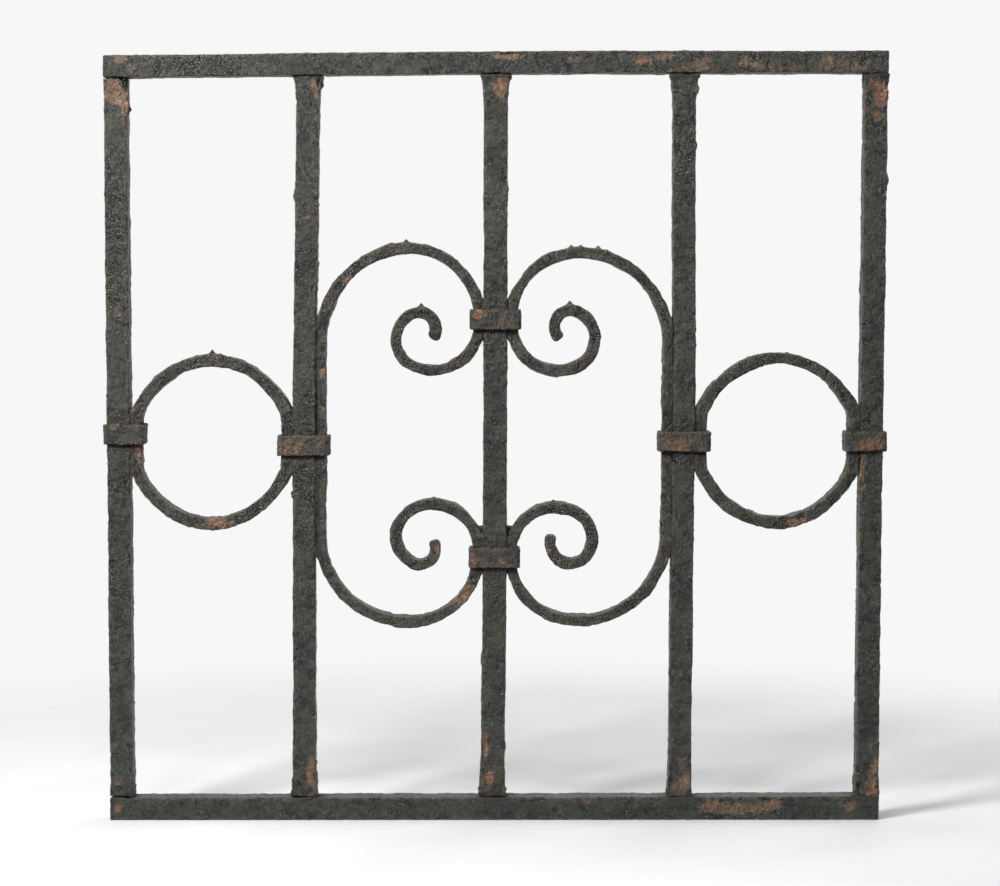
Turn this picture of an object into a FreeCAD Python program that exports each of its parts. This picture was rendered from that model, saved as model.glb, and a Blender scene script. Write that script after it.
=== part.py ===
"""Wrought-iron window grille: bars tenoned into two rails, with rings and C-scrolls held by collars.

The origin is at the centre of the bottom rail's underside, X runs along the rails, Z is up
and the front of the grille faces -Y. Every piece is centred on the plane Y = 0.
"""
import FreeCAD, Part
import math
import os

import Sketcher

Vector = FreeCAD.Vector

# Driving dimensions: millimetres, and degrees for the sweeps. Each has its own spreadsheet cell.
SIZES = {
    # Frame of two rails and five uprights
    "bar_pitch": 152.4,
    "bar_width": 18.0,
    "bar_depth": 18.0,
    "clear_height": 585.5,
    "rail_height": 17.5,
    "rail_depth": 20.0,
    "rail_overhang": 0.5,
    # Upset feet and peened tenons of the uprights
    "tenon_radius": 5.0,
    "peen_radius": 6.5,
    "peen_depth": 4.0,
    "tenon_clearance": 0.1,
    "foot_height": 20.0,
    "top_foot_width": 24.0,
    "bottom_foot_width": 21.5,
    "foot_depth": 19.0,
    # Rings between the outer pairs of uprights
    "ring_easing": 20.0,
    "ring_flat_margin": 10.5,
    "ring_stock": 9.6,
    "ring_depth": 17.5,
    "ring_centre_height": 308.5,
    # C-scrolls on both sides of the centre bar
    "scroll_stock": 8.2,
    "scroll_depth": 17.5,
    "scroll_tip_round": 3.8,
    "scroll_centre_height": 310.1,
    "contact_spacing": 192.4,
    "contact_relief": 2.0,
    "shoulder_radius": 75.0,
    "shoulder_sweep": 100.0,
    "curl_radius": 34.0,
    "curl_sweep": 125.0,
    "inner_curl_radius": 23.6,
    "inner_curl_sweep": 113.0,
    "tip_radius": 13.6,
    "tip_sweep": 148.0,
    # Packing wedges between the centre bar and the lower curls, above the lower centre collar
    "packing_depth": 11.0,
    "packing_gap": 4.0,
    "packing_height": 14.0,
    # Collars; the four that can slide are each closed at their own height
    "collar_stock": 3.2,
    "collar_height": 16.0,
    "collar_corner": 2.6,
    "collar_seam": 0.6,
    "collar_clearance": 0.1,
    "left_stile_collar_height": 315.4,
    "inner_left_collar_height": 305.6,
    "inner_right_collar_height": 307.7,
    "right_stile_collar_height": 307.8,
}

# Sizes that follow from the driving ones, as formulas over the cells above.
FORMULAS = {
    "rail_length": "4 * bar_pitch + bar_width + 2 * rail_overhang",
    "top_rail_height": "rail_height + clear_height",
    "hole_radius": "tenon_radius + tenon_clearance",
    "countersink_radius": "peen_radius + tenon_clearance",
    "neck_length": "rail_height - peen_depth",
    "lane_half_width": "(bar_pitch - bar_width) / 2",
    "ring_centre": "1.5 * bar_pitch",
    "ring_side": "lane_half_width - ring_stock / 2",
    "ring_flat_half": "collar_height / 2 + ring_flat_margin",
    "ring_radius": "ring_easing + sqrt((ring_side - ring_easing) ^ 2 + ring_flat_half ^ 2)",
    "scroll_side": "bar_pitch - bar_width / 2 - scroll_stock / 2",
    "scroll_contact": "bar_width / 2 + scroll_stock / 2",
    "contact_height": "contact_spacing / 2",
    "contact_flat": "collar_height - 2 * contact_relief",
    "tip_round": "min(scroll_tip_round; scroll_stock * 0.47)",
    "packing_bottom": "collar_height / 2 + packing_gap",
    "upper_centre_collar_height": "scroll_centre_height + contact_height",
    "lower_centre_collar_height": "scroll_centre_height - contact_height",
    "stile_stack": "ring_stock + bar_width",
    "stile_stack_centre": "2 * bar_pitch - ring_stock / 2",
    "inner_stack": "ring_stock + bar_width + scroll_stock",
    "inner_stack_centre": "bar_pitch + (ring_stock - scroll_stock) / 2",
    "centre_stack": "bar_width + 2 * scroll_stock",
}

# Vertex numbers of sketch geometry, as the constraint solver counts them.
START = 1
END = 2
CENTRE = 3
AXES = -1
ORIGIN = 1

# Relative difference below which two measures of a shape count as the same.
SAME_SIZE = 0.001

document = FreeCAD.newDocument("window_grille")
sheet = document.addObject("Spreadsheet::Sheet", "Sizes")


def fill_sheet():
    """Write one row per size: its name, its value or formula, and the value's alias."""
    rows = [(name, str(value)) for name, value in SIZES.items()]
    rows += [(name, "=" + formula) for name, formula in FORMULAS.items()]
    for number, (name, content) in enumerate(rows, start=1):
        sheet.set("A" + str(number), name)
        sheet.set("B" + str(number), content)
        sheet.setAlias("B" + str(number), name)
    document.recompute()


def size(name):
    """Return the present value of a cell."""
    return float(getattr(sheet, name))


def cell(name, factor=1.0):
    """Return an expression for a cell, times a plain factor."""
    return "Sizes." + name if factor == 1.0 else "Sizes." + name + " * " + str(factor)


def new_body(label, across=None, height=None):
    """Start a sub-part; its place along X and Z is bound to expressions."""
    body = document.addObject("PartDesign::Body", label)
    body.Label = label
    if across is not None:
        body.setExpression("Placement.Base.x", across)
    if height is not None:
        body.setExpression("Placement.Base.z", height)
    return body


def new_sketch(body, name, role, height=None):
    """Add a sketch on one of the body's own origin planes, lifted to a height along its normal."""
    sketch = body.newObject("Sketcher::SketchObject", body.Label + "_" + name)
    plane = next(item for item in body.Origin.OriginFeatures if item.Role == role)
    sketch.AttachmentSupport = (plane, [""])
    sketch.MapMode = "FlatFace"
    if height is not None:
        sketch.setExpression("AttachmentOffset.Base.z", height)
    return sketch


def constrain(sketch, kind, *arguments, bound=None):
    """Add a constraint; bound is the expression that drives its value."""
    number = sketch.addConstraint(Sketcher.Constraint(kind, *arguments))
    if bound is not None:
        sketch.setExpression("Constraints[" + str(number) + "]", bound)


def add_rectangle(sketch, centre, width, depth):
    """Draw a rectangle on the sketch's X axis; centre, width and depth are (value, expression)."""
    left = centre[0] - width[0] / 2
    right = centre[0] + width[0] / 2
    near = -depth[0] / 2
    far = depth[0] / 2
    corners = [(left, near), (right, near), (right, far), (left, far)]
    points = [Vector(across, along, 0) for across, along in corners]
    first = sketch.GeometryCount
    for number in range(4):
        sketch.addGeometry(Part.LineSegment(points[number], points[(number + 1) % 4]))
    for number in range(4):
        constrain(sketch, "Coincident", first + number, END, first + (number + 1) % 4, START)
    constrain(sketch, "Horizontal", first)
    constrain(sketch, "Horizontal", first + 2)
    constrain(sketch, "Vertical", first + 1)
    constrain(sketch, "Vertical", first + 3)
    constrain(sketch, "DistanceX", first, START, first, END, width[0], bound=width[1])
    constrain(sketch, "DistanceY", first + 1, START, first + 1, END, depth[0], bound=depth[1])
    left_edge = "(" + centre[1] + ") - (" + width[1] + ") / 2"
    constrain(sketch, "DistanceX", AXES, ORIGIN, first, START, left, bound=left_edge)
    constrain(sketch, "DistanceY", first, START, AXES, ORIGIN, far, bound="(" + depth[1] + ") / 2")


def centred_rectangle(sketch, width_name, depth_name):
    """Draw a rectangle around the sketch's origin from two cells."""
    width = (size(width_name), cell(width_name))
    depth = (size(depth_name), cell(depth_name))
    add_rectangle(sketch, (0.0, "0"), width, depth)


def add_primitive(body, kind, name, height, **bindings):
    """Add a cylinder or cone on the body's own Z axis and bind its sizes."""
    feature = body.newObject("PartDesign::" + kind, body.Label + "_" + name)
    feature.setExpression("Placement.Base.z", height)
    for key, expression in bindings.items():
        feature.setExpression(key, expression)
    return feature


def build_rail(label, height, outer_side_up):
    """A rail is a bar with five round holes, countersunk on the side that faces away."""
    body = new_body(label, height=height)
    profile = new_sketch(body, "profile", "XY_Plane")
    centred_rectangle(profile, "rail_length", "rail_depth")
    bar = body.newObject("PartDesign::Pad", label + "_bar")
    bar.Profile = profile
    bar.setExpression("Length", cell("rail_height"))
    first_hole = cell("bar_pitch", -2.0)
    hole = add_primitive(
        body, "SubtractiveCylinder", "hole", "0", Radius=cell("hole_radius"), Height=cell("rail_height")
    )
    hole.setExpression("Placement.Base.x", first_hole)
    inner, outer = cell("hole_radius"), cell("countersink_radius")
    countersink = add_primitive(
        body,
        "SubtractiveCone",
        "countersink",
        cell("neck_length") if outer_side_up else "0",
        Radius1=inner if outer_side_up else outer,
        Radius2=outer if outer_side_up else inner,
        Height=cell("peen_depth"),
    )
    countersink.setExpression("Placement.Base.x", first_hole)
    row = body.newObject("PartDesign::LinearPattern", label + "_hole_row")
    row.Originals = [hole, countersink]
    x_axis = next(item for item in body.Origin.OriginFeatures if item.Role == "X_Axis")
    row.Direction = (x_axis, [""])
    row.setExpression("Length", cell("bar_pitch", 4.0))
    row.Occurrences = 5
    body.Tip = row
    return body


def add_tenon(body, at_top):
    """Add the tenon at one end of an upright, with the head that fills the rail's countersink."""
    name = "top" if at_top else "bottom"
    tenon_foot = cell("clear_height") if at_top else cell("neck_length", -1.0)
    peen_foot = cell("clear_height") + " + " + cell("neck_length") if at_top else cell("rail_height", -1.0)
    inner, outer = cell("tenon_radius"), cell("peen_radius")
    add_primitive(
        body, "AdditiveCylinder", name + "_tenon", tenon_foot, Radius=inner, Height=cell("neck_length")
    )
    add_primitive(
        body,
        "AdditiveCone",
        name + "_peen",
        peen_foot,
        Radius1=inner if at_top else outer,
        Radius2=outer if at_top else inner,
        Height=cell("peen_depth"),
    )


def build_stile(label, pitches):
    """A stile is a square bar of one section, with a tenon at each end."""
    body = new_body(label, across=cell("bar_pitch", pitches), height=cell("rail_height"))
    profile = new_sketch(body, "profile", "XY_Plane")
    centred_rectangle(profile, "bar_width", "bar_depth")
    bar = body.newObject("PartDesign::Pad", label + "_bar")
    bar.Profile = profile
    bar.setExpression("Length", cell("clear_height"))
    add_tenon(body, at_top=True)
    add_tenon(body, at_top=False)
    return body


def build_shaft(label, pitches):
    """The straight length of an inner bar, between its two upset feet."""
    body = new_body(label, across=cell("bar_pitch", pitches), height=cell("rail_height"))
    profile = new_sketch(body, "profile", "XY_Plane", cell("foot_height"))
    centred_rectangle(profile, "bar_width", "bar_depth")
    bar = body.newObject("PartDesign::Pad", label + "_bar")
    bar.Profile = profile
    bar.setExpression("Length", cell("clear_height") + " - 2 * Sizes.foot_height")
    return body


def build_foot(label, pitches, width_name, at_top):
    """An upset foot: the bar's section widens to the shoulder that bears on the rail, then a tenon."""
    body = new_body(label, across=cell("bar_pitch", pitches), height=cell("rail_height"))
    shoulder_height = cell("clear_height") if at_top else "0"
    neck_height = cell("clear_height") + " - Sizes.foot_height" if at_top else cell("foot_height")
    shoulder = new_sketch(body, "shoulder", "XY_Plane", shoulder_height)
    centred_rectangle(shoulder, width_name, "foot_depth")
    neck = new_sketch(body, "neck", "XY_Plane", neck_height)
    centred_rectangle(neck, "bar_width", "bar_depth")
    flare = body.newObject("PartDesign::AdditiveLoft", label + "_flare")
    flare.Profile = shoulder
    flare.Sections = [neck]
    flare.Ruled = True
    add_tenon(body, at_top)
    return body


def build_inner_bar(label, pitches):
    """An inner bar: its shaft and its two feet, which meet it face to face."""
    return [
        build_shaft(label, pitches),
        build_foot(label + "_top_foot", pitches, "top_foot_width", at_top=True),
        build_foot(label + "_bottom_foot", pitches, "bottom_foot_width", at_top=False),
    ]


def add_eased_loop(sketch, offset_sign):
    """Draw one edge of a ring: two big arcs, four easing arcs and two flats that face the bars.

    offset_sign is +1 for the outer edge and -1 for the inner edge of the stock.
    """
    half_stock = offset_sign * size("ring_stock") / 2
    flat = size("ring_side") + half_stock
    radius = size("ring_radius") + half_stock
    easing = size("ring_easing") + half_stock
    rise = size("ring_flat_half")
    turn = math.atan2(rise, flat - easing)
    stock_term = " + Sizes.ring_stock * " + str(offset_sign / 2)
    flat_bound = cell("ring_side") + stock_term
    radius_bound = cell("ring_radius") + stock_term
    easing_bound = cell("ring_easing") + stock_term
    normal = Vector(0, 0, 1)
    first = sketch.GeometryCount

    def add_arc(centre, arc_radius, begin, finish):
        sketch.addGeometry(Part.ArcOfCircle(Part.Circle(centre, normal, arc_radius), begin, finish))

    # The loop runs counter-clockwise from the right-hand flat, four pieces to each half.
    for half in (0, 1):
        sign = 1 - 2 * half
        shift = half * math.pi
        low = Vector(sign * flat, -sign * rise, 0)
        high = Vector(sign * flat, sign * rise, 0)
        sketch.addGeometry(Part.LineSegment(low, high))
        add_arc(Vector(sign * (flat - easing), sign * rise, 0), easing, shift, shift + turn)
        add_arc(Vector(0, 0, 0), radius, shift + turn, shift + math.pi - turn)
        leaving = Vector(-sign * (flat - easing), sign * rise, 0)
        add_arc(leaving, easing, shift + math.pi - turn, shift + math.pi)
    for number in range(8):
        constrain(sketch, "Tangent", first + number, END, first + (number + 1) % 8, START)
    for start in (first, first + 4):
        for easing_arc in (start + 1, start + 3):
            constrain(sketch, "Radius", easing_arc, easing, bound=easing_bound)
        constrain(sketch, "Coincident", start + 2, CENTRE, AXES, ORIGIN)
        constrain(sketch, "Radius", start + 2, radius, bound=radius_bound)
    constrain(sketch, "DistanceX", AXES, ORIGIN, first, START, flat, bound=flat_bound)
    constrain(sketch, "Vertical", first)
    constrain(sketch, "DistanceX", first + 4, START, AXES, ORIGIN, flat, bound=flat_bound)
    constrain(sketch, "Vertical", first + 4)


def build_ring(label, side):
    """A ring of flat stock bent on edge, flattened where it bears on the bars beside it."""
    body = new_body(label, across=cell("ring_centre", side), height=cell("ring_centre_height"))
    outline = new_sketch(body, "outline", "XZ_Plane")
    add_eased_loop(outline, 1)
    add_eased_loop(outline, -1)
    stock = body.newObject("PartDesign::Pad", label + "_stock")
    stock.Profile = outline
    stock.Midplane = True
    stock.setExpression("Length", cell("ring_depth"))
    return body


def crown_radius():
    """Return the crown's radius: with the shoulder, its half turn spans from side bar to contact."""
    shoulder = math.radians(size("shoulder_sweep"))
    span = size("scroll_side") - size("scroll_contact")
    return (span - size("shoulder_radius") * (1 - math.cos(shoulder))) / (1 + math.cos(shoulder))


def draw_arc(sketch, begin, heading, radius, sweep, turn):
    """Draw an arc that leaves a point along a heading; return its number, end point and heading.

    turn is +1 for a counter-clockwise arc and -1 for a clockwise one.
    """
    to_centre = heading + turn * math.pi / 2
    centre = begin + Vector(math.cos(to_centre), math.sin(to_centre), 0) * radius
    from_centre = to_centre + math.pi
    reached = from_centre + turn * sweep
    finish = centre + Vector(math.cos(reached), math.sin(reached), 0) * radius
    low, high = sorted((from_centre, reached))
    circle = Part.Circle(centre, Vector(0, 0, 1), radius)
    number = sketch.addGeometry(Part.ArcOfCircle(circle, low, high))
    return number, finish, heading + turn * sweep


def place_point(sketch, kind, geometry, vertex, distance, sign, bound):
    """Hold a point at a distance from the sketch's origin, on the side that sign names."""
    ends = (AXES, ORIGIN, geometry, vertex) if sign > 0 else (geometry, vertex, AXES, ORIGIN)
    constrain(sketch, kind, *ends, distance, bound=bound)


def add_loop_spine(sketch, side, rise):
    """Draw half of a scroll's outer loop: side bar, shoulder, crown and contact flat.

    side is -1 for the left scroll and +1 for the right; rise is +1 for the upper half.
    """
    radius = size("shoulder_radius")
    sweep = math.radians(size("shoulder_sweep"))
    crown = crown_radius()
    flat = size("contact_flat")
    flat_top = size("contact_height") + flat / 2
    side_top = flat_top + (crown - radius) * math.sin(sweep)
    turn = side * rise
    leave, arrive = (START, END) if turn > 0 else (END, START)
    point = Vector(side * size("scroll_side"), rise * side_top, 0)
    side_bar = sketch.addGeometry(Part.LineSegment(Vector(point.x, 0, 0), point))
    shoulder, point, heading = draw_arc(sketch, point, rise * math.pi / 2, radius, sweep, turn)
    top, point, heading = draw_arc(sketch, point, heading, crown, math.pi - sweep, turn)
    contact = sketch.addGeometry(Part.LineSegment(point, point - Vector(0, rise * flat, 0)))
    constrain(sketch, "Radius", shoulder, radius, bound=cell("shoulder_radius"))
    constrain(sketch, "Angle", shoulder, sweep, bound=cell("shoulder_sweep") + " * 1 deg")
    constrain(sketch, "Vertical", side_bar)
    constrain(sketch, "Vertical", contact)
    constrain(sketch, "PointOnObject", side_bar, START, AXES)
    constrain(sketch, "Tangent", side_bar, END, shoulder, leave)
    constrain(sketch, "Tangent", shoulder, arrive, top, leave)
    constrain(sketch, "Tangent", top, arrive, contact, START)
    place_point(sketch, "DistanceX", side_bar, START, size("scroll_side"), side, cell("scroll_side"))
    place_point(sketch, "DistanceX", contact, START, size("scroll_contact"), side, cell("scroll_contact"))
    flat_top_bound = cell("contact_height") + " + Sizes.contact_flat / 2"
    place_point(sketch, "DistanceY", contact, START, flat_top, rise, flat_top_bound)
    ends = (contact, END, contact, START) if rise > 0 else (contact, START, contact, END)
    constrain(sketch, "DistanceY", *ends, flat, bound=cell("contact_flat"))


def add_curl_spine(sketch, side, rise):
    """Draw the curl that follows a contact flat: three arcs, each tighter than the one before."""
    turn = side * rise
    leave, arrive = (START, END) if turn > 0 else (END, START)
    begin_height = size("contact_height") - size("contact_flat") / 2
    begin_bound = cell("contact_height") + " - Sizes.contact_flat / 2"
    point = Vector(side * size("scroll_contact"), rise * begin_height, 0)
    heading = -rise * math.pi / 2
    chain = []
    for part in ("curl", "inner_curl", "tip"):
        radius = size(part + "_radius")
        sweep = math.radians(size(part + "_sweep"))
        number, point, heading = draw_arc(sketch, point, heading, radius, sweep, turn)
        constrain(sketch, "Radius", number, radius, bound=cell(part + "_radius"))
        constrain(sketch, "Angle", number, sweep, bound=cell(part + "_sweep") + " * 1 deg")
        chain.append(number)
    curl, inner_curl, tip = chain
    constrain(sketch, "Tangent", curl, arrive, inner_curl, leave)
    constrain(sketch, "Tangent", inner_curl, arrive, tip, leave)
    constrain(sketch, "Horizontal", curl, leave, curl, CENTRE)
    place_point(sketch, "DistanceX", curl, leave, size("scroll_contact"), side, cell("scroll_contact"))
    place_point(sketch, "DistanceY", curl, leave, begin_height, rise, begin_bound)


def add_scroll_section(body, side, centre_name, height=None):
    """Draw the flat stock's section around one cell's distance from the centre line."""
    section = new_sketch(body, "section", "XY_Plane", height)
    centre = (side * size(centre_name), cell(centre_name, float(side)))
    stock = (size("scroll_stock"), cell("scroll_stock"))
    depth = (size("scroll_depth"), cell("scroll_depth"))
    add_rectangle(section, centre, stock, depth)
    return section


def add_sweep(body, name, section, spine):
    """Sweep a section along the whole of a spine."""
    sweep = body.newObject("PartDesign::AdditivePipe", body.Label + "_" + name)
    sweep.Profile = section
    sweep.Spine = (spine, [])
    sweep.Mode = "Standard"
    return sweep


def build_scroll(label, side):
    """A C-scroll's outer loop, swept both ways from the middle of its straight side."""
    body = new_body(label, height=cell("scroll_centre_height"))
    section = add_scroll_section(body, side, "scroll_side")
    for name, rise in (("upper", 1), ("lower", -1)):
        spine = new_sketch(body, name + "_spine", "XZ_Plane")
        add_loop_spine(spine, side, rise)
        add_sweep(body, name + "_half", section, spine)
    return body


def tip_edges(shape, depth, stock):
    """Return the names of the two long edges at the free end of a curl."""
    ends = []
    for face in shape.Faces:
        is_flat = isinstance(face.Surface, Part.Plane)
        if is_flat and math.isclose(face.Area, depth * stock, rel_tol=SAME_SIZE):
            ends.append(face)
    # The other end lies at the contact flat, closer to the centre bar.
    tip = max(ends, key=lambda face: abs(face.CenterOfMass.x))
    names = []
    for number, edge in enumerate(shape.Edges, start=1):
        runs_through = math.isclose(edge.Length, depth, rel_tol=SAME_SIZE)
        if runs_through and any(edge.isSame(other) for other in tip.Edges):
            names.append("Edge" + str(number))
    return names


def build_curl(label, side, rise):
    """One curled end of a C-scroll; it meets the outer loop face to face inside the centre collar."""
    body = new_body(label, height=cell("scroll_centre_height"))
    begin = "(" + cell("contact_height") + " - Sizes.contact_flat / 2) * " + str(rise)
    section = add_scroll_section(body, side, "scroll_contact", begin)
    spine = new_sketch(body, "spine", "XZ_Plane")
    add_curl_spine(spine, side, rise)
    sweep = add_sweep(body, "stock", section, spine)
    document.recompute()
    rounding = body.newObject("PartDesign::Fillet", label + "_tip")
    rounding.Base = (sweep, tip_edges(sweep.Shape, size("scroll_depth"), size("scroll_stock")))
    rounding.setExpression("Radius", cell("tip_round"))
    return body


def build_packing(label, side):
    """A wedge between the centre bar and a lower curl, held by the curl above the lower collar."""
    body = new_body(label, height=cell("lower_centre_collar_height"))
    outline = new_sketch(body, "outline", "XZ_Plane")
    bar_face = size("bar_width") / 2
    bottom = size("packing_bottom")
    top = bottom + size("packing_height")
    # The curl's outer face leaves the bar as an arc that starts at the top of the contact flat.
    arc_start = size("contact_flat") / 2
    radius = size("curl_radius") + size("scroll_stock") / 2
    centre = bar_face + radius
    low_angle = math.asin((bottom - arc_start) / radius)
    high_angle = math.asin((top - arc_start) / radius)
    low_point = Vector(side * (centre - radius * math.cos(low_angle)), bottom, 0)
    high_point = Vector(side * (centre - radius * math.cos(high_angle)), top, 0)
    low_corner = Vector(side * bar_face, bottom, 0)
    high_corner = Vector(side * bar_face, top, 0)
    begin = math.pi - high_angle if side > 0 else low_angle
    finish = math.pi - low_angle if side > 0 else high_angle
    circle = Part.Circle(Vector(side * centre, arc_start, 0), Vector(0, 0, 1), radius)
    curl_face = outline.addGeometry(Part.ArcOfCircle(circle, begin, finish))
    roof = outline.addGeometry(Part.LineSegment(high_point, high_corner))
    bar_side = outline.addGeometry(Part.LineSegment(high_corner, low_corner))
    floor = outline.addGeometry(Part.LineSegment(low_corner, low_point))
    top_end, bottom_end = (START, END) if side > 0 else (END, START)
    constrain(outline, "Coincident", curl_face, top_end, roof, START)
    constrain(outline, "Coincident", roof, END, bar_side, START)
    constrain(outline, "Coincident", bar_side, END, floor, START)
    constrain(outline, "Coincident", floor, END, curl_face, bottom_end)
    constrain(outline, "Horizontal", roof)
    constrain(outline, "Horizontal", floor)
    constrain(outline, "Vertical", bar_side)
    radius_bound = "Sizes.curl_radius + Sizes.scroll_stock / 2"
    constrain(outline, "Radius", curl_face, radius, bound=radius_bound)

    def place_across(geometry, vertex, distance, bound):
        ends = (AXES, ORIGIN, geometry, vertex) if side > 0 else (geometry, vertex, AXES, ORIGIN)
        constrain(outline, "DistanceX", *ends, distance, bound=bound)

    def place_up(geometry, vertex, distance, bound):
        constrain(outline, "DistanceY", AXES, ORIGIN, geometry, vertex, distance, bound=bound)

    place_across(bar_side, START, bar_face, "Sizes.bar_width / 2")
    place_across(curl_face, CENTRE, centre, "Sizes.bar_width / 2 + " + radius_bound)
    place_up(curl_face, CENTRE, arc_start, "Sizes.contact_flat / 2")
    place_up(floor, START, bottom, cell("packing_bottom"))
    place_up(roof, START, top, cell("packing_bottom") + " + " + cell("packing_height"))
    wedge = body.newObject("PartDesign::Pad", label + "_wedge")
    wedge.Profile = outline
    wedge.Midplane = True
    wedge.setExpression("Length", cell("packing_depth"))
    return body


def build_collar(label, stack_name, height_name, centre_name=None, side=0):
    """A collar is a strip wrapped tightly around a stack of bars, its ends meeting at the back."""
    across = cell(centre_name, float(side)) if centre_name else None
    body = new_body(label, across=across, height=cell(height_name))
    inside = new_sketch(body, "inside", "XY_Plane")
    outside = new_sketch(body, "outside", "XY_Plane")
    room = size("collar_clearance")
    wall = room + size("collar_stock")
    stack = size(stack_name)
    depth = size("bar_depth")
    centre = (0.0, "0")
    for sketch, margin, bound in (
        (inside, room, " + 2 * Sizes.collar_clearance"),
        (outside, wall, " + 2 * (Sizes.collar_clearance + Sizes.collar_stock)"),
    ):
        width = (stack + 2 * margin, cell(stack_name) + bound)
        length = (depth + 2 * margin, cell("bar_depth") + bound)
        add_rectangle(sketch, centre, width, length)
    block = body.newObject("PartDesign::Pad", label + "_block")
    block.Profile = outside
    block.Midplane = True
    block.setExpression("Length", cell("collar_height"))
    document.recompute()
    upright_edges = [
        "Edge" + str(number)
        for number, edge in enumerate(block.Shape.Edges, start=1)
        if math.isclose(abs(edge.tangentAt(edge.FirstParameter).z), 1.0, rel_tol=SAME_SIZE)
    ]
    corners = body.newObject("PartDesign::Fillet", label + "_corners")
    corners.Base = (block, upright_edges)
    corners.setExpression("Radius", cell("collar_corner"))
    window = body.newObject("PartDesign::Pocket", label + "_window")
    window.Profile = inside
    window.Type = "ThroughAll"
    window.Midplane = True
    seam = body.newObject("PartDesign::SubtractiveBox", label + "_seam")
    seam.setExpression("Length", cell("collar_seam"))
    seam.setExpression("Width", "Sizes.collar_stock + Sizes.collar_clearance")
    seam.setExpression("Height", cell("collar_height"))
    seam.setExpression("Placement.Base.x", cell("collar_seam", -0.5))
    seam.setExpression("Placement.Base.y", "Sizes.bar_depth / 2")
    seam.setExpression("Placement.Base.z", cell("collar_height", -0.5))
    return body


def build_pieces():
    """Build every piece of the grille and return the bodies."""
    bodies = [
        build_rail("bottom_rail", "0", outer_side_up=False),
        build_rail("top_rail", cell("top_rail_height"), outer_side_up=True),
        build_stile("left_stile", -2.0),
        build_stile("right_stile", 2.0),
        build_collar("upper_centre_collar", "centre_stack", "upper_centre_collar_height"),
        build_collar("lower_centre_collar", "centre_stack", "lower_centre_collar_height"),
    ]
    for label, pitches in (("inner_left_bar", -1.0), ("centre_bar", 0.0), ("inner_right_bar", 1.0)):
        bodies += build_inner_bar(label, pitches)
    for word, side in (("left", -1), ("right", 1)):
        stile = word + "_stile_collar"
        inner = "inner_" + word + "_collar"
        bodies += [
            build_ring(word + "_ring", float(side)),
            build_scroll(word + "_c_scroll", side),
            build_curl(word + "_c_scroll_upper_curl", side, 1),
            build_curl(word + "_c_scroll_lower_curl", side, -1),
            build_packing(word + "_packing", side),
            build_collar(stile, "stile_stack", stile + "_height", "stile_stack_centre", side),
            build_collar(inner, "inner_stack", inner + "_height", "inner_stack_centre", side),
        ]
    return bodies


def check_document(bodies):
    """Stop when a feature failed, a sketch is loose or a piece isn't one valid solid."""
    for item in document.Objects:
        if "Invalid" in item.State or "Error" in item.State:
            raise RuntimeError(item.Name + " failed: " + str(item.State))
        if item.isDerivedFrom("Sketcher::SketchObject") and (item.solve() != 0 or not item.FullyConstrained):
            raise RuntimeError(item.Name + " isn't fully constrained")
    for body in bodies:
        shape = body.Shape
        if shape.isNull() or not shape.isValid() or len(shape.Solids) != 1:
            raise RuntimeError(body.Label + " isn't one valid solid")


def write_pieces(bodies):
    """Write one STEP file for each piece."""
    os.makedirs("parts", exist_ok=True)
    for body in bodies:
        body.Shape.exportStep("parts/" + body.Label + ".step")
        box = body.Shape.BoundBox
        spans = [round(span, 1) for span in (box.XLength, box.YLength, box.ZLength)]
        print(body.Label, "spans", spans, "volume", round(body.Shape.Volume))


fill_sheet()
pieces = build_pieces()
document.recompute()
check_document(pieces)
write_pieces(pieces)
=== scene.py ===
"""Looks of the wrought-iron window grille: each bar, ring, scroll and collar as a forged mesh.

Lengths are in metres in the frame of the CAD model: X along the rails, Z up, front towards -Y.
"""
import itertools
import math

import bpy
import numpy as np
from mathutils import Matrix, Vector


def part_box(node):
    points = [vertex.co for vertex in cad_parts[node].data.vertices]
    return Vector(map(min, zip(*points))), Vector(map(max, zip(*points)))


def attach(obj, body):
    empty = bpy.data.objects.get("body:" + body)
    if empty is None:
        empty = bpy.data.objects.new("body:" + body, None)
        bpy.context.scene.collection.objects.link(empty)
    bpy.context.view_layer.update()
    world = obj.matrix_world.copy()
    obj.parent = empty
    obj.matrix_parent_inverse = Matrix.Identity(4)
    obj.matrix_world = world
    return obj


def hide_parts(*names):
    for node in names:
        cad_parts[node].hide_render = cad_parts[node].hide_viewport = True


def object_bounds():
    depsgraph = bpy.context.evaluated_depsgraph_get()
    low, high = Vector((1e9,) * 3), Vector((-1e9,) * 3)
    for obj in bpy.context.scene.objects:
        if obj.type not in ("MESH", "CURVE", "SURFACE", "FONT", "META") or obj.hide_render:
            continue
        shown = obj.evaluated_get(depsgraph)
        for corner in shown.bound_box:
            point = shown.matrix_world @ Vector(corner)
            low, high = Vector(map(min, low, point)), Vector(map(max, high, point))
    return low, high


MM = 0.001
GRAIN = 1.0 * MM

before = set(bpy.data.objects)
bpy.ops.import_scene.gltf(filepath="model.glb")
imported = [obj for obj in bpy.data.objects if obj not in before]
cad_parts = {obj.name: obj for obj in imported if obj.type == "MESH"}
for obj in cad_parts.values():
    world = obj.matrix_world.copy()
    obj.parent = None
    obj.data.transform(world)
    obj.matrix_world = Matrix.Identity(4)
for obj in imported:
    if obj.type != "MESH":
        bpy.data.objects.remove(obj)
cad_low, cad_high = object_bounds()


# ---------------- noise

# Odd multipliers that scatter the lattice's whole-number places, and then stir their bits.
SCATTER = (73856093, 19349663, 83492791)
SCATTER_SEED = 2654435761
STIR = ((15, 2246822519), (13, 3266489917))
LOW_BITS = 0xFFFFFFFF


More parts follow.
